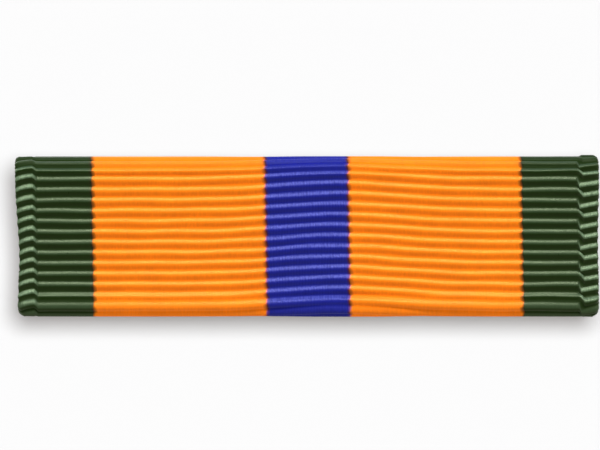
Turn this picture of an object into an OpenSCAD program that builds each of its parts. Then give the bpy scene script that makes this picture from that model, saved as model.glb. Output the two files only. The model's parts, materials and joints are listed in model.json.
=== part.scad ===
// Service ribbon bar: one woven ribbon on a folded backing plate, which slides onto a
// mounting bar with two pins, each held behind the cloth by a squeeze clutch.
// +X runs across the ribbon, -Y is the face that shows, +Z is up as worn.
// The origin is midway between the pins, on the plane where the cloth starts.

/* [Ribbon] */
// Width of the woven ribbon, selvage to selvage
ribbon_w = 34.93; // [20:0.01:60]
// Height of the finished face, ribbon included
face_h = 9.53; // [8:0.01:13]
// Thickness of the woven ribbon
ribbon_t = 0.34; // [0.2:0.01:0.5]
// Length of ribbon tucked inside each rail
tuck_l = 0.9; // [0.4:0.1:1.2]
// Film of adhesive between the ribbon and the plate
glue_t = 0.02; // [0.01:0.01:0.05]

/* [Backing plate] */
// How far the ribbon overhangs each end of the plate
plate_inset = 0.35; // [0:0.05:1]
// Thickness of the sheet brass
plate_t = 0.3; // [0.2:0.05:0.5]
// Distance between the centres of the two rounded rail edges
rail_gap = 5.0; // [4:0.1:6]

/* [Mounting bar] */
// Length of the bar
bar_w = 34.0; // [20:0.1:60]
// Height of the bar
bar_h = 7.4; // [6:0.1:9]
// Thickness of the bar
bar_t = 0.6; // [0.4:0.05:0.8]
// Radius of the bar's corners
bar_corner = 0.8; // [0.2:0.1:2]
// Running clearance between the bar and what it slides in
slide_gap = 0.05; // [0.02:0.01:0.1]

/* [Pin posts] */
// Distance between the two pins
pin_spacing = 22; // [12:0.5:40]
// Diameter of the shank
pin_d = 1.1; // [0.9:0.05:1.3]
// Length of the pin behind the cloth plane
pin_l = 7.0; // [6:0.1:9]
// Length of the straight part of the shank
shank_l = 2.0; // [1.5:0.1:3]
// Length of the cone at the pin's end
tip_l = 1.7; // [1.2:0.1:2.2]
// Radius of the blunt point
tip_r = 0.08; // [0.05:0.01:0.15]
// Width of the locking groove
groove_w = 0.4; // [0.35:0.05:0.6]
// Depth of the locking groove
groove_depth = 0.15; // [0.05:0.01:0.2]
// Diameter of the shoulder that the cloth rests on
shoulder_d = 3.2; // [2.4:0.1:3.4]
// Diameter of the spigot riveted through the bar
spigot_d = 1.8; // [1.6:0.1:2.2]
// Diameter of the rivet's countersunk head
rivet_d = 2.6; // [2.2:0.1:3.2]

/* [Clutches] */
// Distance from the cloth plane to the clutch as worn
cloth_gap = 2.05; // [1:0.05:3]
// Outer diameter of the crimped rim
rim_d = 8.9; // [8.5:0.1:9]
// Thickness of the base's floor
base_t = 0.35; // [0.3:0.05:0.4]
// Thickness of the crimped rim
rim_t = 0.25; // [0.2:0.01:0.3]
// Diameter of the hub that guides the pin
hub_d = 2.6; // [2.2:0.1:3]
// Thickness of the stamped sheet
sheet_t = 0.3; // [0.2:0.05:0.35]
// Outer diameter of the cover's wall
cover_d = 7.8; // [7.5:0.1:7.9]
// Radius of the cover's rounded shoulder
shoulder_r = 1.0; // [0.6:0.1:1.2]
// Diameter of the boss on the roof
boss_d = 2.8; // [2.6:0.1:3]
// Height of the boss over the roof
boss_rise = 0.7; // [0.7:0.1:1.4]
// Radius of the boss's rounded top
boss_round = 0.45; // [0.35:0.05:0.5]
// Radius of the sweep from the roof up into the boss
boss_foot = 0.2; // [0.1:0.05:0.2]
// Radial clearance of the pin holes in base and boss
pin_gap = 0.07; // [0.05:0.01:0.1]

/* [Jaws and spring] */
// Radial clearance of the closed jaws around the pin
grip_gap = 0.02; // [0.01:0.01:0.04]
// Travel of each jaw when its wing is squeezed
squeeze = 0.5; // [0.3:0.05:0.6]
// Width of the jaws where they pass the cover's slots
jaw_w = 3.2; // [2.4:0.1:3.6]
// Distance from the pin to the tab that the spring pushes
tab_x = 2.75; // [2.6:0.05:2.9]
// Width of that tab
tab_w = 1.8; // [1.2:0.1:2.4]
// Distance from the pin to the wing's bend
bend_x = 4.6; // [4.5:0.05:4.8]
// Inner radius of the wing's bend
bend_r = 0.35; // [0.3:0.05:0.5]
// Angle that each wing is bent up from flat
wing_bend = 75; // [60:1:90]
// Radius of the rounded wings
wing_r = 1.9; // [1.6:0.1:2.4]
// Distance from the bend to the middle of the wing's round lobe
wing_neck = 1.14; // [1:0.01:1.6]
// Wire diameter of the ring spring
wire_d = 0.3; // [0.2:0.05:0.35]
// Part of a full turn that the ring spring goes round
spring_turn = 300; // [270:5:330]

/* [Hidden] */
$fn = 96;
eps = 0.01;
// Clearance between pieces that are pressed or crimped together
fit_gap = 0.02;
brass = [0.78, 0.62, 0.30];
pin_metal = [0.80, 0.80, 0.78];
orange = [0.86, 0.42, 0.06];

// Depths, measured from the cloth plane towards the face
skin_back = 0.10;
plate_back = skin_back + ribbon_t + glue_t;
tuck_back = plate_back + plate_t + glue_t;
bar_back = tuck_back + ribbon_t + slide_gap;
bar_front = bar_back + bar_t;
plate_front = bar_front + slide_gap + plate_t;
fold_r = (plate_front - plate_back) / 2;
fold_y = -(plate_front + plate_back) / 2;
fold_z = face_h / 2 - ribbon_t - glue_t - fold_r;
edge_r = plate_t / 2;
edge_y = -(plate_back + edge_r);
edge_z = rail_gap / 2;

pin_x = pin_spacing / 2;
pin_r = pin_d / 2;
shank_taper = 0.02;

// Radii in the clutch, from the pin's axis
pin_hole_r = pin_r + pin_gap;
rim_r = rim_d / 2;
hub_r = hub_d / 2;
wall_r = cover_d / 2;
boss_r = boss_d / 2;
crimp_play = 0.07;
slide_play = 0.05;
crimp_r = wall_r + crimp_play;
flange_r = rim_r - rim_t - fit_gap;
spring_r = tab_x - slide_play - wire_d / 2;

// Heights in the clutch, from its front face
flange_h = base_t + fit_gap;
crimp_h = flange_h + sheet_t + fit_gap;
rim_gap = 0.06;
jaw_gap = 0.1;
tab_over_spring = 0.2;
roof_gap = 0.35;
lower_jaw_h = crimp_h + rim_t + rim_gap;
upper_jaw_h = lower_jaw_h + sheet_t + jaw_gap;
spring_h = upper_jaw_h + sheet_t + wire_d;
tab_top = spring_h + wire_d / 2 + tab_over_spring;
roof_h = tab_top + roof_gap + sheet_t;
boss_h = roof_h + boss_rise;

// Runs a profile drawn in Y and Z along X
module along_x(w) {
    rotate([90, 0, 90])
        linear_extrude(w, center = true)
            children();
}

// Turns a part drawn with its axis along Z so that it points back, along +Y
module facing_back() {
    rotate([-90, 0, 0])
        children();
}

// Puts a clutch part on a pin: side is -1 for left and 1 for right, as seen from the front
module on_pin(side) {
    translate([side * pin_x, cloth_gap, 0])
        rotate([0, side < 0 ? 180 : 0, 0])
            facing_back()
                children();
}

// Solid outline of the folded plate, grown by g all round
module fold_outline(g) {
    r = fold_r + g;
    translate([fold_y - r, -fold_z])
        square([2 * r, 2 * fold_z]);
    for (s = [-1, 1])
        translate([fold_y, s * fold_z])
            circle(r);
}

// The open gap between the rails, behind the middle of the fold
module rail_opening() {
    translate([fold_y, -edge_z])
        square([4 * fold_r, 2 * edge_z]);
}

module plate_profile() {
    difference() {
        fold_outline(0);
        fold_outline(-plate_t);
        rail_opening();
    }
    for (s = [-1, 1])
        translate([edge_y, s * edge_z])
            circle(edge_r);
}

// Half ring that carries the ribbon round one rail edge, opening away from the middle
module edge_wrap(s) {
    outer_r = edge_r + glue_t + ribbon_t;
    difference() {
        circle(outer_r);
        circle(outer_r - ribbon_t);
        translate([-2 * outer_r, s > 0 ? 0 : -2 * outer_r])
            square([4 * outer_r, 2 * outer_r]);
    }
}

module ribbon_profile() {
    difference() {
        fold_outline(glue_t + ribbon_t);
        fold_outline(glue_t);
        rail_opening();
    }
    for (s = [-1, 1]) {
        translate([edge_y, s * edge_z])
            edge_wrap(s);
        translate([-(tuck_back + ribbon_t), s > 0 ? edge_z : -edge_z - tuck_l])
            square([ribbon_t, tuck_l]);
    }
}

module ribbon() {
    color(orange)
        along_x(ribbon_w)
            ribbon_profile();
}

module backing_plate() {
    color(brass)
        along_x(ribbon_w - 2 * plate_inset)
            plate_profile();
}

// Flat bar with rounded corners and a countersunk hole for each post
module mounting_bar() {
    x = bar_w / 2 - bar_corner;
    z = bar_h / 2 - bar_corner;
    hole_r = spigot_d / 2 + fit_gap;
    head_r = rivet_d / 2 + fit_gap;
    color(brass)
        translate([0, -bar_front, 0])
            facing_back()
                difference() {
                    union() {
                        translate([-x, -bar_h / 2, 0])
                            cube([2 * x, bar_h, bar_t]);
                        translate([-bar_w / 2, -z, 0])
                            cube([bar_w, 2 * z, bar_t]);
                        for (sx = [-1, 1], sz = [-1, 1])
                            translate([sx * x, sz * z, 0])
                                cylinder(r = bar_corner, h = bar_t);
                    }
                    for (s = [-1, 1])
                        translate([s * pin_x, 0, 0]) {
                            translate([0, 0, -eps])
                                cylinder(r = hole_r, h = bar_t + 2 * eps);
                            translate([0, 0, -eps])
                                cylinder(r1 = head_r + eps, r2 = hole_r, h = head_r - hole_r + eps);
                        }
                }
}

// Turned post: rivet head, spigot, shoulder, straight shank, locking groove and point
module pin_post(side) {
    head_r = rivet_d / 2;
    spigot_r = spigot_d / 2;
    top_r = pin_r - shank_taper;
    groove_y = pin_l - tip_l - groove_w;
    color(pin_metal)
        translate([side * pin_x, 0, 0])
            facing_back()
                rotate_extrude()
                    polygon([
                        [0, -bar_front],
                        [head_r, -bar_front],
                        [spigot_r, -bar_front + head_r - spigot_r],
                        [spigot_r, -bar_back],
                        [shoulder_d / 2, -bar_back],
                        [shoulder_d / 2, 0],
                        [pin_r, 0],
                        [pin_r, shank_l],
                        [top_r, groove_y],
                        [top_r - groove_depth, groove_y + groove_w / 2],
                        [top_r, groove_y + groove_w],
                        [tip_r, pin_l - tip_r],
                        [0, pin_l]
                    ]);
}

// Quarter ring of sheet metal in the section, in the quadrant that sx and sy point to
module bend_section(outer_r, t, sx, sy) {
    intersection() {
        difference() {
            circle(outer_r);
            circle(outer_r - t);
        }
        translate([sx < 0 ? -outer_r : 0, sy < 0 ? -outer_r : 0])
            square(outer_r);
    }
}

// Half section of the base: floor, hub, rounded rim and the lip crimped over the cover's flange
module base_section() {
    translate([pin_hole_r, 0])
        square([rim_r - rim_t - pin_hole_r, base_t]);
    translate([pin_hole_r, 0])
        square([hub_r - pin_hole_r, lower_jaw_h - slide_play]);
    translate([rim_r - rim_t, rim_t])
        square([rim_t, crimp_h - rim_t]);
    for (corner = [[rim_t, -1], [crimp_h, 1]])
        translate([rim_r - rim_t, corner[0]])
            intersection() {
                circle(rim_t);
                translate([0, corner[1] < 0 ? -rim_t : 0])
                    square(rim_t);
            }
    translate([crimp_r, crimp_h])
        square([rim_r - rim_t - crimp_r, rim_t]);
}

module clutch_base() {
    color(brass)
        rotate_extrude()
            base_section();
}

// Half section of the cover: flange, wall, rounded shoulder, roof and boss
module cover_section() {
    boss_wall_h = roof_h + boss_foot;
    translate([wall_r - sheet_t, flange_h])
        square([flange_r - wall_r + sheet_t, sheet_t]);
    translate([wall_r - sheet_t, flange_h])
        square([sheet_t, roof_h - shoulder_r - flange_h]);
    translate([wall_r - shoulder_r, roof_h - shoulder_r])
        bend_section(shoulder_r, sheet_t, 1, 1);
    translate([boss_r + boss_foot, roof_h - sheet_t])
        square([wall_r - shoulder_r - boss_r - boss_foot, sheet_t]);
    translate([boss_r + boss_foot, boss_wall_h])
        bend_section(boss_foot + sheet_t, sheet_t, -1, -1);
    translate([boss_r - sheet_t, boss_wall_h])
        square([sheet_t, boss_h - boss_round - boss_wall_h]);
    translate([boss_r - boss_round, boss_h - boss_round])
        bend_section(boss_round, sheet_t, 1, 1);
    translate([pin_hole_r, boss_h - sheet_t])
        square([boss_r - boss_round - pin_hole_r, sheet_t]);
}

// The slot through the cover's wall for a jaw whose underside is at the height h
module jaw_slot(h) {
    translate([0, -jaw_w / 2 - slide_play, h - slide_play])
        cube([rim_r, jaw_w + 2 * slide_play, sheet_t + 2 * slide_play]);
}

// Domed cover with one slot for each jaw
module clutch_cover() {
    color(brass)
        difference() {
            rotate_extrude()
                cover_section();
            jaw_slot(lower_jaw_h);
            rotate([0, 0, 180])
                jaw_slot(upper_jaw_h);
        }
}

// Ring sector of the wing's bend, as wide as the jaw
module wing_bend_strip(outer_r) {
    linear_extrude(jaw_w)
        intersection() {
            difference() {
                circle(outer_r);
                circle(outer_r - sheet_t);
            }
            polygon([
                [0, 0],
                [2 * outer_r, 0],
                [2 * outer_r, 2 * outer_r],
                [2 * outer_r * cos(wing_bend), 2 * outer_r * sin(wing_bend)]
            ]);
        }
}

// Wing bent up from the jaw's outer end: a bend, then a strip that widens to a round lobe
module wing() {
    outer_r = bend_r + sheet_t;
    translate([bend_x, jaw_w / 2, outer_r])
        rotate([90, 0, 0])
            rotate([0, 0, -90])
                wing_bend_strip(outer_r);
    translate([bend_x, 0, outer_r])
        rotate([0, 90 - wing_bend, 0])
            translate([bend_r, 0, 0]) {
                translate([0, -jaw_w / 2, -eps])
                    cube([sheet_t, jaw_w, wing_neck]);
                intersection() {
                    translate([0, 0, wing_neck])
                        rotate([0, 90, 0])
                            cylinder(r = wing_r, h = sheet_t);
                    translate([-eps, -wing_r, 0])
                        cube([sheet_t + 2 * eps, 2 * wing_r, wing_neck + wing_r]);
                }
            }
}

// One sliding jaw with its wing towards +X. Its slot's end closes on the pin from behind.
module jaw(h) {
    grip_r = pin_r + grip_gap;
    slot_l = squeeze + 2 * slide_play;
    color(brass)
        translate([0, 0, h]) {
            difference() {
                union() {
                    cylinder(r = jaw_w / 2, h = sheet_t);
                    translate([0, -jaw_w / 2, 0])
                        cube([bend_x, jaw_w, sheet_t]);
                }
                for (x = [0, slot_l])
                    translate([x, 0, -eps])
                        cylinder(r = grip_r, h = sheet_t + 2 * eps);
                translate([0, -grip_r, -eps])
                    cube([slot_l, 2 * grip_r, sheet_t + 2 * eps]);
            }
            translate([tab_x, -tab_w / 2, sheet_t - eps])
                cube([sheet_t, tab_w, tab_top - h - sheet_t + eps]);
            wing();
        }
}

module outer_jaw() {
    jaw(lower_jaw_h);
}

module inner_jaw() {
    rotate([0, 0, 180])
        jaw(upper_jaw_h);
}

// Open ring of round wire that pushes the two jaws' tabs apart
module clutch_spring() {
    color(pin_metal)
        translate([0, 0, spring_h])
            rotate([0, 0, 120])
                rotate_extrude(angle = spring_turn)
                    translate([spring_r, 0])
                        circle(d = wire_d);
}

mounting_bar();
pin_post(-1);  // left_pin_post
pin_post(1);  // right_pin_post
backing_plate();
ribbon();
on_pin(-1) clutch_base();  // left_clutch_base
on_pin(-1) clutch_cover();  // left_clutch_cover
on_pin(-1) outer_jaw();  // left_clutch_outer_jaw
on_pin(-1) inner_jaw();  // left_clutch_inner_jaw
on_pin(-1) clutch_spring();  // left_clutch_spring
on_pin(1) clutch_base();  // right_clutch_base
on_pin(1) clutch_cover();  // right_clutch_cover
on_pin(1) outer_jaw();  // right_clutch_outer_jaw
on_pin(1) inner_jaw();  // right_clutch_inner_jaw
on_pin(1) clutch_spring();  // right_clutch_spring
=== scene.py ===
"""Looks of a service ribbon bar: a woven ribbon in ribbed grosgrain over its metal parts."""
import json
import math

import bpy
import numpy as np
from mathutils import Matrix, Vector


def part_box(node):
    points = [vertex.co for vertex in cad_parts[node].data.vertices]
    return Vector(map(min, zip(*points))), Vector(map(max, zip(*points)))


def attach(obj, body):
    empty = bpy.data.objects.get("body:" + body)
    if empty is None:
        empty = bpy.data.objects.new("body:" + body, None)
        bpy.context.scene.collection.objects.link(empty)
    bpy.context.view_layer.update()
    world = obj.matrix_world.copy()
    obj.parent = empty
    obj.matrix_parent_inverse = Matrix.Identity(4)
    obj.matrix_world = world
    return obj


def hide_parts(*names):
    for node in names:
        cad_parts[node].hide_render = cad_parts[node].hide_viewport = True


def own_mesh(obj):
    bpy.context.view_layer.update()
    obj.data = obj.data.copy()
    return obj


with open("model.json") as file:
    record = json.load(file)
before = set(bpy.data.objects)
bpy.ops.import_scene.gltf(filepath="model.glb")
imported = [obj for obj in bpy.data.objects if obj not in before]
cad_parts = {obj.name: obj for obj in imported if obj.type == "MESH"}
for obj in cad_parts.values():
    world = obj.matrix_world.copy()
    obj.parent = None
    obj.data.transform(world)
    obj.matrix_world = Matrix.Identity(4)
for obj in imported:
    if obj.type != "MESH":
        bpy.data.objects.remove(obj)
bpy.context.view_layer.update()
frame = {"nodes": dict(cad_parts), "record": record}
MM = 0.001

# ---------------------------------------------------------------- the ribbon's sizes
ribbon_lo, ribbon_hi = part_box("ribbon")
plate_lo, plate_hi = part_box("backing_plate")
WIDTH = ribbon_hi.x - ribbon_lo.x
GLUE = 0.02 * MM
CLOTH = plate_lo.y - ribbon_lo.y - GLUE
FOLD_R = (plate_hi.y - plate_lo.y) / 2
FOLD_Y = (plate_hi.y + plate_lo.y) / 2
FOLD_Z = plate_hi.z - FOLD_R
RAIL_EDGE_R = 0.15 * MM
RAIL_EDGE_Z = 2.5 * MM
TUCK = 0.9 * MM

# Stripes, as widths from either selvage: green, then gold, with blue filling the middle
EDGE_STRIPE = 4.56 * MM
GOLD_STRIPE = 10.40 * MM
SELVAGE = 1.14 * MM

# Ribs of the weave
RIB = 0.632 * MM
RIB_STEPS = 8
RIB_START = 0.17
ROUNDNESS = 0.8
RELIEF = 0.13 * MM
BOW = 0.40 * MM
BOW_AT = 2.0 * MM
BOW_SPREAD = 4.8 * MM
SKEW = 0.016
COLUMN = 0.12 * MM
EDGE_ROUND = 0.24 * MM
SQUARE_START = 0.10 * MM
SQUARE = 0.25 * MM
FULL_TOP = 0.07 * MM
FULL_BOTTOM = 0.16 * MM
WAIST = 0.17 * MM

# Heights on the face: where it starts to bend, and where the corners start to round off
BEND_FROM = 3.75 * MM
CORNER_FROM = 4.15 * MM
CORNER_REACH = 0.72 * MM
CORNER_ROUND = 0.34 * MM

# Changes of the cords' depth on the bends and in the selvages, as shares of it
DEEPER_BELOW = 0.3
FLATTER_ABOVE = 0.35
FULLER_SELVAGE = 0.2
SHARPER_BELOW = 0.3

# Steps of the ribs where a selvage starts, as shares of a rib
LEFT_STEP, LEFT_FALL = 0.36, 0.42
RIGHT_DROP, RIGHT_RISE = 0.60, 0.34
EVEN_SLANT, ODD_SLANT = 0.30, 0.03

# The weave's pattern counts ribs: a rib's fraction is 0 in a hollow and 0.5 on its crest
LIT_FLANK = 0.75
# Painted highlights: where on each rib the pale green and pale blue are painted in, and how strongly
HIGHLIGHT_AT = 0.66
BLUE_HIGHLIGHT_AT = 0.80
GREEN_HIGHLIGHT_SHARE = 0.16
BLUE_HIGHLIGHT_SHARE = 0.28
YARN = 0.17

# The stage: a floor under the object, and a wall so far behind that it hides no view
REACH = 600 * MM
WALL_Y = 400 * MM
FLOOR_Z = -24 * MM


def smooth(edge0, edge1, value):
    """0 before edge0, 1 after edge1, and a smooth rise between them."""
    t = np.clip((value - edge0) / (edge1 - edge0), 0, 1)
    return t * t * (3 - 2 * t)


def ribbon_length():
    """Lengths of the half path's five stretches, measured along the middle of the cloth."""
    middle = GLUE + CLOTH / 2
    return [
        FOLD_Z,
        math.pi * (FOLD_R + middle),
        FOLD_Z - RAIL_EDGE_Z,
        math.pi * (RAIL_EDGE_R + middle),
        TUCK,
    ]


def plate_path(s):
    """The plate's surface at the distance s along the ribbon from the middle of the face.

    Returns y, z and the outward normal's y and z, each an array like s."""
    front, fold, back, edge, tuck = ribbon_length()
    a = np.abs(s)
    fold_turn = np.clip((a - front) / fold, 0, 1) * math.pi
    edge_turn = np.clip((a - front - fold - back) / edge, 0, 1) * math.pi
    on_back = a - front - fold
    in_tuck = a - front - fold - back - edge
    where = [a < front, a < front + fold, on_back < back, in_tuck < 0]
    edge_y = plate_hi.y - RAIL_EDGE_R
    y = np.select(
        where,
        [
            plate_lo.y + 0 * a,
            FOLD_Y - FOLD_R * np.cos(fold_turn),
            plate_hi.y + 0 * a,
            edge_y + RAIL_EDGE_R * np.cos(edge_turn),
        ],
        edge_y - RAIL_EDGE_R,
    )
    z = np.select(
        where,
        [
            a,
            FOLD_Z + FOLD_R * np.sin(fold_turn),
            FOLD_Z - on_back,
            RAIL_EDGE_Z - RAIL_EDGE_R * np.sin(edge_turn),
        ],
        RAIL_EDGE_Z + in_tuck,
    )
    ny = np.select(where, [-1 + 0 * a, -np.cos(fold_turn), 1 + 0 * a, np.cos(edge_turn)], -1)
    nz = np.select(where, [0 * a, np.sin(fold_turn), 0 * a, -np.sin(edge_turn)], 0)
    side = np.where(s < 0, -1.0, 1.0)
    return y, z * side, ny, nz * side


def wander(rng, value, waves, amount):
    """A smooth seeded wobble along value, of about the given amount."""
    out = np.zeros_like(value)
    for n in range(waves):
        blue_lit_band = rng.uniform(0.35, 2.2) / MM
        out += np.sin(value * blue_lit_band + rng.uniform(0, 2 * math.pi)) * rng.uniform(0.4, 1.0)
    return out * amount / math.sqrt(waves)


def across():
    """Places across the ribbon for one ring round its section: the face from left to right with
    both ends rounded, then the inside back from right to left.

    Returns x, how far each point stands from the inside (0 inside, 1 face) and which are on the
    face."""
    half = WIDTH / 2
    turns = np.linspace(0, math.pi / 2, 6)[1:]
    flat = np.linspace(-half + EDGE_ROUND, half - EDGE_ROUND, round(WIDTH / COLUMN))
    ends = half - EDGE_ROUND * (1 - np.sin(turns))
    face_x = np.concatenate([-ends[::-1], flat, ends])
    rise = 0.5 + 0.5 * np.cos(turns)
    face_up = np.concatenate([rise[::-1], np.ones(len(flat)), rise])
    back_x = np.concatenate([ends[:-1][::-1], np.linspace(flat[-1], flat[0], 13), -ends[:-1]])
    fall = 0.5 - 0.5 * np.cos(turns[:-1])
    back_up = np.concatenate([fall[::-1], np.zeros(13), fall])
    x = np.concatenate([face_x, back_x])
    up = np.concatenate([face_up, back_up])
    on_face = np.concatenate([np.ones(len(face_x)), np.zeros(len(back_x))])
    return x, up, on_face


def ribbon_mesh():
    """The folded ribbon as one closed mesh, with its ribs, its skew and bow, and its selvages."""
    rng = np.random.default_rng(7)
    front, fold, *rest = ribbon_length()
    half_length = sum(ribbon_length())
    outer_fold = math.pi * (FOLD_R + GLUE + CLOTH + SQUARE_START)
    ribs = int(2 * (half_length - fold + outer_fold) / RIB)
    steps = ribs * RIB_STEPS
    row = np.arange(steps + 1)
    rib_number, step = np.divmod(row, RIB_STEPS)
    phase = rib_number + step / RIB_STEPS - ribs / 2 + RIB_START
    swell = 0.5 - 0.5 * np.cos(2 * math.pi * step / RIB_STEPS)
    x, up, on_face = across()
    x_grid, phase_grid = np.meshgrid(x, phase)
    swell_grid = np.repeat(swell[:, None], len(x), 1)
    rib_grid = np.repeat(rib_number[:, None], len(x), 1)

    # how far into each selvage a point lies, from 0 at its inner edge to 1 at its outer one
    right = np.clip((x_grid - (WIDTH / 2 - SELVAGE)) / SELVAGE, 0, 1)
    left = np.clip((-x_grid - (WIDTH / 2 - SELVAGE)) / SELVAGE, 0, 1)
    in_right = smooth(0, 0.10, right)
    in_left = smooth(0, 0.10, left)
    slanted = np.where(rib_grid % 2 == 0, EVEN_SLANT, ODD_SLANT)
    drop_right = smooth(0, slanted, right)

    # the ribs bow up in the middle of the face, and step where the selvages start
    along = phase_grid * RIB
    near_face = 1 - smooth(5.5 * MM, 8 * MM, np.abs(along))
    bow = BOW * np.exp(-(((x_grid - BOW_AT) / BOW_SPREAD) ** 2))
    step_left = LEFT_STEP * in_left - LEFT_FALL * left**2
    step_right = -RIGHT_DROP * drop_right + RIGHT_RISE * right
    wobble = wander(rng, x_grid + rib_grid * 3.7 * MM, 7, 0.018 * MM)
    outside = along + (bow + RIB * (step_left + step_right)) * near_face + wobble
    bends = [0, front, front + outer_fold, half_length - fold + outer_fold]
    s = np.sign(outside) * np.interp(np.abs(outside), bends, [0, front, front + fold, half_length])

    # relief: one cord for each rib, fuller in the selvages
    uneven = 1 + wander(rng, x_grid * 2.3 + rib_grid * 5.1 * MM, 5, 0.03)
    turn_at = np.clip((np.abs(s) - FOLD_Z) / (math.pi * (FOLD_R + GLUE + CLOTH / 2)), 0, 1)
    on_bend = np.sin(math.pi * turn_at)
    sharp = np.where(s < 0, SHARPER_BELOW, 0.0) * on_bend
    bend_share = np.where(s < 0, DEEPER_BELOW, -FLATTER_ABOVE)
    deep = 1 + bend_share * on_bend + FULLER_SELVAGE * (in_left + in_right)
    cord = RELIEF * deep * (swell_grid ** (ROUNDNESS - sharp) - 1) * uneven
    proud = -0.04 * MM * np.maximum(in_left, in_right) * on_bend
    proud = proud + 0.08 * MM * smooth(0, 0.2, right) * smooth(3.6 * MM, 4.8 * MM, s) * near_face
    notch = np.exp(-(((right - 0.02) / 0.05) ** 2)) + np.exp(-(((left - 0.02) / 0.05) ** 2))
    corner = np.sin(2 * math.pi * np.clip(turn_at, 0, 0.5))
    square = np.where(s < 0, SQUARE_START * corner + SQUARE * corner**2, 0)
    full_bend = np.where(s < 0, FULL_BOTTOM, FULL_TOP) * on_bend
    face_height = CLOTH + cord + proud + square + full_bend - 0.05 * MM * notch
    height = GLUE + np.where(on_face > 0, face_height, CLOTH) * up

    y, z, ny, nz = plate_path(s)
    scallop = 0.05 * MM * swell_grid - 0.03 * MM
    up_z = z + nz * height
    past_corner = np.clip((np.abs(up_z) - CORNER_FROM) / CORNER_REACH, 0, 1)
    round_off = CORNER_ROUND * (1 - np.sqrt(1 - past_corner**2))
    waist = np.exp(-(((up_z + 1.2 * MM) / (2.4 * MM)) ** 2))
    left_line = 0.06 * MM - WAIST * waist
    right_line = 0.12 * MM * smooth(-1 * MM, 4 * MM, up_z)
    edge_line = np.where(x_grid < 0, left_line, right_line)
    near_end = smooth(WIDTH / 2 - 0.5 * MM, WIDTH / 2, np.abs(x_grid))
    ends = (scallop - round_off) * near_end + edge_line * smooth(0.2, 1.0, np.maximum(left, right))
    points = np.stack([x_grid + np.sign(x_grid) * ends - SKEW * up_z, y + ny * height, up_z], -1)

    rings, around = x_grid.shape
    k, j = np.meshgrid(np.arange(rings - 1), np.arange(around), indexing="ij")
    j_next = (j + 1) % around
    quads = np.stack(
        [k * around + j, k * around + j_next, (k + 1) * around + j_next, (k + 1) * around + j], -1
    ).reshape(-1, 4)
    caps = [list(range(around))[::-1], list(range((rings - 1) * around, rings * around))]
    mesh = bpy.data.meshes.new("ribbon_weave")
    mesh.from_pydata(points.reshape(-1, 3).tolist(), [], quads.tolist() + caps)
    weave = mesh.attributes.new("weave", "FLOAT_VECTOR", "POINT")
    told = np.stack([x_grid / MM, s / MM, phase_grid - RIB_START + ribs / 2], -1)
    weave.data.foreach_set("vector", told.astype(np.float32).ravel())
    mesh.shade_smooth()
    mesh.validate()
    return mesh


# ---------------------------------------------------------------- materials
def node_adder(tree):
    """A function that adds a node to the tree, with its inputs given as values or as sockets."""
    def add(kind, inputs=(), **settings):
        node = tree.nodes.new("ShaderNode" + kind)
        for key, value in settings.items():
            setattr(node, key, value)
        for key, value in dict(inputs).items():
            socket = node.inputs[key]
            if isinstance(value, bpy.types.NodeSocket):
                tree.links.new(value, socket)
            else:
                socket.default_value = value
        return node

    return add


def new_material(name):
    """A node material with its Principled shader, and functions that add nodes and link them."""
    material = bpy.data.materials.new(name)
    material.use_nodes = True
    tree = material.node_tree
    shader = next(n for n in tree.nodes if n.type == "BSDF_PRINCIPLED")

    def link(output, key):
        tree.links.new(output, shader.inputs[key])

    return material, shader, node_adder(tree), link


def maths(add, operation, a, b=0.0, c=0.0):
    """One Math node's output."""
    return add("Math", {0: a, 1: b, 2: c}, operation=operation).outputs[0]


def off_rib(add, phase, fraction):
    """How far a point's fraction of a rib is from the given one."""
    return maths(add, "ABSOLUTE", maths(add, "SUBTRACT", maths(add, "FRACT", phase), fraction))


GREEN = (0.0065, 0.0185, 0.001, 1)
GOLD = (0.78, 0.172, 0.002, 1)
BLUE = (0.005, 0.008, 0.19, 1)
MAROON = (0.050, 0.006, 0.010, 1)
SHADE = (0.010, 0.010, 0.002, 1)
# painted highlights: paler colours painted onto each rib's lit upper flank
GREEN_HIGHLIGHT = (0.115, 0.170, 0.095, 1)
BLUE_HIGHLIGHT = (0.10, 0.115, 0.42, 1)


def stripe_stops(dark_borders):
    """The ribbon's colours from left to right, as (place from 0 to 1, colour) for a colour ramp.

    With dark_borders the two colours meet in a dark line."""
    soft = 0.11 * MM if dark_borders else 0.06 * MM
    dark = 0.06 * MM
    borders = [
        (EDGE_STRIPE, GREEN, SHADE, GOLD),
        (EDGE_STRIPE + GOLD_STRIPE, GOLD, MAROON, BLUE),
        (WIDTH - EDGE_STRIPE - GOLD_STRIPE, BLUE, MAROON, GOLD),
        (WIDTH - EDGE_STRIPE, GOLD, SHADE, GREEN),
    ]
    stops = [(0.0, GREEN)]
    for at, before, between, after in borders:
        middle = []
        if dark_borders:
            middle = [((at - dark) / WIDTH, between), ((at + dark) / WIDTH, between)]
        stops += [((at - soft) / WIDTH, before)] + middle + [((at + soft) / WIDTH, after)]
    return stops


def fill_ramp(ramp, stops):
    """Puts the stops into a colour ramp's element list."""
    elements = ramp.color_ramp.elements
    while len(elements) > 1:
        elements.remove(elements[-1])
    elements[0].position, elements[0].color = stops[0]
    for place, colour in stops[1:]:
        elements.new(place).color = colour


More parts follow.
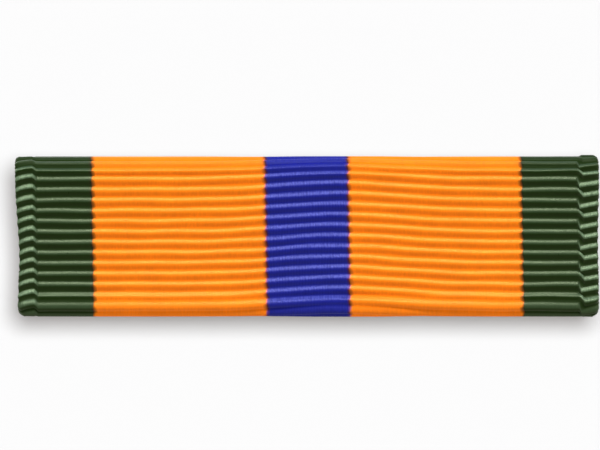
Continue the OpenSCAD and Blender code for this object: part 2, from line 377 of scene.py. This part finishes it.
def weave_material():
    """Dyed rayon warp over thick weft cords: stripes by place, fine yarns, a sheen on each rib, with
    painted highlights of pale green and pale blue on each rib's lit upper flank and painted shade along
    the stripe borders.
    """
    material, shader, add, link = new_material("grosgrain_weave")
    place = add("Attribute", attribute_name="weave").outputs["Vector"]
    split = add("SeparateXYZ", {0: place}).outputs
    x, s, phase = split[0], split[1], split[2]
    half = WIDTH / MM / 2

    # filaments: long along the ribbon, fine across it
    fine_at = add("CombineXYZ", {0: maths(add, "MULTIPLY", x, 8.0), 1: maths(add, "MULTIPLY", s, 2.2)})
    fine = add("TexNoise", {"Vector": fine_at.outputs[0], "Scale": 1.0, "Detail": 3.0}).outputs[0]
    patch_at = add("CombineXYZ", {0: maths(add, "MULTIPLY", x, 0.5), 1: maths(add, "MULTIPLY", s, 1.1)})
    patch = add("TexNoise", {"Vector": patch_at.outputs[0], "Scale": 1.0, "Detail": 2.0}).outputs[0]

    # the borders step from rib to rib, and stray by a yarn here and there
    rock = maths(add, "PINGPONG", phase, 0.5)
    jag = maths(add, "MULTIPLY_ADD", rock, 0.14, -0.035)
    stray = maths(add, "MULTIPLY_ADD", fine, 0.10, -0.05)
    border_x = maths(add, "ADD", maths(add, "ADD", x, jag), stray)
    ramp_at = maths(add, "MULTIPLY_ADD", border_x, 1 / (2 * half), 0.5)
    stripes = add("ValToRGB", {0: ramp_at})
    fill_ramp(stripes, stripe_stops(False))
    bordered = add("ValToRGB", {0: ramp_at})
    fill_ramp(bordered, stripe_stops(True))
    # painted shade: the dark line where two stripes meet is a real dark joint, but it is shown only in
    # the rows away from each rib's lit upper flank
    upper_flank = off_rib(add, phase, LIT_FLANK)
    unlit_rows = add("MapRange", {"Value": upper_flank, "From Min": 0.10, "From Max": 0.28}).outputs[0]
    striped = add(
        "Mix",
        {"Factor": unlit_rows, "A": stripes.outputs["Color"], "B": bordered.outputs["Color"]},
        data_type="RGBA",
    )

    # painted highlight: pale green is painted on each rib's lit upper flank, on the face only; in the
    # selvage it is stronger, partly the real paler yarns that lie over the ribs and partly painted
    # highlight
    out_x = maths(add, "ABSOLUTE", x)
    inner, outer = half - 1.05 * SELVAGE / MM, half - 0.92 * SELVAGE / MM
    in_selvage = add("MapRange", {"Value": out_x, "From Min": inner, "From Max": outer}).outputs[0]
    green_from = half - EDGE_STRIPE / MM
    in_green = add(
        "MapRange", {"Value": out_x, "From Min": green_from, "From Max": green_from + 0.1}
    ).outputs[0]
    off_lit_band = off_rib(add, phase, HIGHLIGHT_AT)
    lit_band = add("MapRange", {"Value": off_lit_band, "From Min": 0.26, "From Max": 0.12}).outputs[0]
    off_middle = maths(add, "ABSOLUTE", s)
    on_face = add(
        "MapRange",
        {"Value": off_middle, "From Min": CORNER_FROM / MM, "From Max": BEND_FROM / MM},
    ).outputs[0]
    selvage_yarns_and_sheen = maths(add, "MULTIPLY", maths(add, "MULTIPLY", in_selvage, on_face), fine)
    green_highlight_part = maths(add, "MULTIPLY", in_green, GREEN_HIGHLIGHT_SHARE)
    painted_highlight = maths(add, "ADD", selvage_yarns_and_sheen, green_highlight_part)
    painted_highlight = maths(add, "MULTIPLY", painted_highlight, lit_band)
    cloth = add(
        "Mix",
        {"Factor": painted_highlight, "A": striped.outputs["Result"], "B": GREEN_HIGHLIGHT},
        data_type="RGBA",
    )

    # painted highlight: pale blue flecks painted on each rib's lit upper flank, on the face only
    blue_to = half - (EDGE_STRIPE + GOLD_STRIPE) / MM
    in_blue = add(
        "MapRange", {"Value": out_x, "From Min": blue_to, "From Max": blue_to - 0.1}
    ).outputs[0]
    off_blue_lit_band = off_rib(add, phase, BLUE_HIGHLIGHT_AT)
    blue_lit_band = add("MapRange", {"Value": off_blue_lit_band, "From Min": 0.32, "From Max": 0.12}).outputs[0]
    flecks = add("MapRange", {"Value": fine, "From Min": 0.22, "From Max": 0.68}).outputs[0]
    blue_highlight = maths(add, "MULTIPLY", maths(add, "MULTIPLY", in_blue, on_face), blue_lit_band)
    blue_highlight = maths(add, "MULTIPLY", blue_highlight, flecks)
    blue_highlight = maths(add, "MULTIPLY", blue_highlight, BLUE_HIGHLIGHT_SHARE)
    cloth = add(
        "Mix",
        {"Factor": blue_highlight, "A": cloth.outputs["Result"], "B": BLUE_HIGHLIGHT},
        data_type="RGBA",
    )

    # yarn to yarn colour
    tone = maths(add, "MULTIPLY_ADD", fine, 0.30, 0.87)
    tone = maths(add, "MULTIPLY", tone, maths(add, "MULTIPLY_ADD", patch, 0.30, 0.85))
    grey = add("CombineColor", {0: tone, 1: tone, 2: tone}).outputs[0]
    toned = add(
        "Mix",
        {"Factor": 1.0, "A": cloth.outputs["Result"], "B": grey},
        data_type="RGBA",
        blend_type="MULTIPLY",
    )
    link(toned.outputs["Result"], "Base Color")
    dyes = add("SeparateColor", {0: stripes.outputs["Color"]}).outputs
    red, blue = dyes[0], dyes[2]
    rough = maths(add, "MULTIPLY_ADD", red, 0.14, maths(add, "MULTIPLY_ADD", fine, 0.30, 0.19))
    rough = maths(add, "MULTIPLY_ADD", blue, 0.4, rough)
    off_hollow = maths(add, "PINGPONG", phase, 0.5)
    deep = add("MapRange", {"Value": off_hollow, "From Min": 0.16, "From Max": 0.04}).outputs[0]
    bent = add("MapRange", {"Value": off_middle, "From Min": 3.9, "From Max": 4.7}).outputs[0]
    rough = maths(add, "MULTIPLY_ADD", deep, 0.45, maths(add, "MULTIPLY_ADD", bent, 0.30, rough))
    link(rough, "Roughness")
    yarns = maths(add, "SINE", maths(add, "MULTIPLY", x, 2 * math.pi / YARN))
    relief = maths(add, "ADD", maths(add, "MULTIPLY", yarns, 0.25), maths(add, "SUBTRACT", fine, 0.5))
    relief = maths(add, "MULTIPLY", relief, maths(add, "MULTIPLY_ADD", blue, 12.0, 0.6))
    relief = maths(add, "MULTIPLY", relief, maths(add, "MULTIPLY_ADD", lit_band, 0.75, 0.25))
    bump = add("Bump", {"Strength": 0.4, "Distance": 0.02 * MM, "Height": relief})
    link(bump.outputs[0], "Normal")
    shader.inputs["Specular IOR Level"].default_value = 0.22
    shader.inputs["Specular Tint"].default_value = (0.95, 1.0, 0.72, 1)
    shader.inputs["Metallic"].default_value = 0.15
    return material


def metal_material(name, light, dark, rough, grain, grain_axis):
    """Plated or bare sheet metal: a fine drawn grain along one axis, dulled in soft patches."""
    material, shader, add, link = new_material(name)
    place = add("TexCoord").outputs["Object"]
    stretch = [grain, grain, grain]
    stretch[grain_axis] = grain * 0.04
    grain_at = add("Mapping", {"Vector": place, "Scale": stretch}).outputs[0]
    lines = add("TexNoise", {"Vector": grain_at, "Scale": 1.0, "Detail": 4.0}).outputs[0]
    patches = add(
        "TexNoise", {"Vector": place, "Scale": 300.0, "Detail": 4.0, "Roughness": 0.55}
    ).outputs[0]
    spots = add("TexNoise", {"Vector": place, "Scale": 6000.0, "Detail": 2.0}).outputs[0]
    dull = add("MapRange", {"Value": patches, "From Min": 0.42, "From Max": 0.66}).outputs[0]
    speck = add("MapRange", {"Value": spots, "From Min": 0.66, "From Max": 0.74}).outputs[0]
    dulled = maths(add, "MULTIPLY", dull, 0.38)
    specked = maths(add, "MULTIPLY", speck, 0.22)
    worn = maths(add, "MAXIMUM", dulled, specked)
    colour = add("Mix", {"Factor": worn, "A": light, "B": dark}, data_type="RGBA")
    link(colour.outputs["Result"], "Base Color")
    streaked = maths(add, "MULTIPLY_ADD", lines, 0.10, rough - 0.05)
    link(maths(add, "MULTIPLY_ADD", worn, 0.22, streaked), "Roughness")
    shader.inputs["Metallic"].default_value = 1.0
    edge = add("Bevel", {"Radius": 0.05 * MM}, samples=4)
    bump = add(
        "Bump",
        {"Strength": 0.15, "Distance": 0.002 * MM, "Height": lines, "Normal": edge.outputs[0]},
    )
    link(bump.outputs[0], "Normal")
    return material


# Material slot: name, light colour, dark colour, roughness, grain per metre, axis of the grain
FINISHES = {
    "plate_brass": (
        "drawn_brass", (0.74, 0.52, 0.20, 1), (0.36, 0.22, 0.08, 1), 0.30, 9000, 0),
    "bar_brass": (
        "bar_brass", (0.76, 0.55, 0.22, 1), (0.40, 0.25, 0.09, 1), 0.34, 9000, 0),
    "clutch_brass": (
        "pressed_brass", (0.83, 0.61, 0.25, 1), (0.45, 0.28, 0.10, 1), 0.20, 5000, 2),
    "jaw_brass": (
        "wing_brass", (0.80, 0.58, 0.23, 1), (0.42, 0.26, 0.09, 1), 0.26, 6000, 2),
    "pin_metal": (
        "nickel_plate", (0.70, 0.69, 0.66, 1), (0.34, 0.32, 0.29, 1), 0.22, 8000, 1),
    "spring_steel": (
        "spring_wire", (0.60, 0.60, 0.61, 1), (0.25, 0.24, 0.23, 1), 0.25, 8000, 0),
}


# ---------------------------------------------------------------- pieces
def make_ribbon():
    ribbon = bpy.data.objects.new("ribbon_weave", ribbon_mesh())
    bpy.context.scene.collection.objects.link(ribbon)
    ribbon.data.materials.append(weave_material())
    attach(ribbon, "ribbon_unit")
    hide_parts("ribbon")


def dress_metal():
    """Gives each metal CAD node its finish by the record's material slot."""
    finishes = {slot: metal_material(*finish) for slot, finish in FINISHES.items()}
    for part in frame["record"]["subparts"]:
        finish = finishes.get(part["material_slot"])
        if finish:
            node = frame["nodes"][part["node"]]
            node.data.materials.clear()
            node.data.materials.append(finish)


def make_springs():
    """Gives each clutch its own copy of its ring spring's mesh, attached to the clutch in place of the
    CAD node.
    """
    for side in ("left", "right"):
        name = f"{side}_clutch_spring"
        node = frame["nodes"][name]
        spring = bpy.data.objects.new(f"{side}_ring_spring", node.data.copy())
        bpy.context.scene.collection.objects.link(spring)
        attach(spring, f"{side}_clutch")
        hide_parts(name)
        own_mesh(spring)


# ---------------------------------------------------------------- stage, light and camera
def plane(name, corners):
    mesh = bpy.data.meshes.new(name)
    mesh.from_pydata(corners, [], [(0, 1, 2, 3)])
    obj = bpy.data.objects.new(name, mesh)
    bpy.context.scene.collection.objects.link(obj)
    return obj


def make_stage():
    """A pale floor below the object, and a white wall behind it."""
    near_left, near_right = (-REACH, -REACH, FLOOR_Z), (REACH, -REACH, FLOOR_Z)
    far_right, far_left = (REACH, WALL_Y, FLOOR_Z), (-REACH, WALL_Y, FLOOR_Z)
    top_right, top_left = (REACH, WALL_Y, REACH), (-REACH, WALL_Y, REACH)
    floor = plane("floor", [near_left, near_right, far_right, far_left])
    wall = plane("wall", [far_left, far_right, top_right, top_left])
    material, shader, add, link = new_material("pale_floor")
    shader.inputs["Base Color"].default_value = (0.50, 0.476, 0.444, 1)
    shader.inputs["Roughness"].default_value = 0.9
    floor.data.materials.append(material)
    floor.visible_diffuse = False
    floor.visible_glossy = False
    material, shader, add, link = new_material("white_wall")
    shader.inputs["Base Color"].default_value = (0.370, 0.336, 0.313, 1)
    shader.inputs["Roughness"].default_value = 1.0
    wall.data.materials.append(material)
    return wall


def sun(name, towards, strength, size, colour=(1, 1, 1)):
    """A sun whose light travels in the direction towards."""
    data = bpy.data.lights.new(name, "SUN")
    data.energy = strength
    data.angle = math.radians(size)
    data.color = colour
    obj = bpy.data.objects.new(name, data)
    obj.rotation_euler = Vector(towards).to_track_quat("-Z", "Y").to_euler()
    bpy.context.scene.collection.objects.link(obj)
    return obj


def softbox(name, at, energy, size):
    """A square area light at a place in millimetres, facing the object."""
    data = bpy.data.lights.new(name, "AREA")
    data.energy = energy
    data.size = size * MM
    obj = bpy.data.objects.new(name, data)
    obj.location = Vector(at) * MM
    obj.rotation_euler = (-obj.location).to_track_quat("-Z", "Y").to_euler()
    obj.visible_camera = False
    bpy.context.scene.collection.objects.link(obj)
    return obj


def shine_on(light, objects):
    """Makes a light shine on these objects only."""
    group = bpy.data.collections.new(light.name + "_shines")
    for obj in objects:
        group.objects.link(obj)
    light.light_linking.receiver_collection = group


def make_light(wall):
    meshes = [obj for obj in bpy.context.scene.objects if obj.type == "MESH"]
    for side in (-1, 0, 1):
        key = sun(f"key_{side + 1}", (0.26 * side, 0.56, -0.80), 1.25, 15)
        shine_on(key, [obj for obj in meshes if obj != wall])
    shadow = sun("drop_shadow", (-0.0008, 1.0, -0.0014), 6.6, 0.27, (0.89, 1.0, 1.09))
    shine_on(shadow, [wall])
    softbox("back_box", (-30, 58, 40), 0.035, 50)
    softbox("back_strip", (50, 40, 10), 0.012, 30)


def make_world():
    """A room that glows from both sides, cool from above and warm from below."""
    world = bpy.data.worlds.new("studio")
    world.use_nodes = True
    world.node_tree.nodes.clear()
    add = node_adder(world.node_tree)
    towards = add("SeparateXYZ", {0: add("TexCoord").outputs["Generated"]}).outputs
    sides = maths(add, "MULTIPLY_ADD", maths(add, "ABSOLUTE", towards[0]), 1.42, 0.04)
    above = maths(add, "POWER", maths(add, "MAXIMUM", towards[2], 0.0), 3.0)
    downward = maths(add, "MULTIPLY", towards[2], -1.0)
    below = maths(add, "POWER", maths(add, "MAXIMUM", downward, 0.0), 2.0)
    glow = []
    for from_above, from_below in ((0.30, 0.62), (0.55, 0.56), (0.95, 0.48)):
        low = maths(add, "MULTIPLY_ADD", below, from_below, sides)
        glow.append(maths(add, "MULTIPLY_ADD", above, from_above, low))
    colour = add("CombineColor", dict(enumerate(glow))).outputs[0]
    room = add("Background", {"Color": colour}).outputs[0]
    seen = add("Background", {"Color": (1, 1, 1, 1), "Strength": 0.93}).outputs[0]
    on_camera = add("LightPath").outputs["Is Camera Ray"]
    add("OutputWorld", {0: add("MixShader", {0: on_camera, 1: room, 2: seen}).outputs[0]})
    bpy.context.scene.world = world


def make_camera():
    """Straight at the face, with no perspective, the ribbon nearly filling the width."""
    data = bpy.data.cameras.new("camera")
    data.type = "ORTHO"
    data.ortho_scale = 36.08 * MM
    data.clip_start, data.clip_end = 1 * MM, 2000 * MM
    obj = bpy.data.objects.new("camera", data)
    obj.location = Vector((-0.45, -150, 0.61)) * MM
    obj.rotation_euler = (math.pi / 2, 0, 0)
    bpy.context.scene.collection.objects.link(obj)
    bpy.context.scene.camera = obj
    bpy.context.scene.view_settings.view_transform = "Standard"


make_ribbon()
dress_metal()
make_springs()
make_light(make_stage())
make_world()
make_camera()
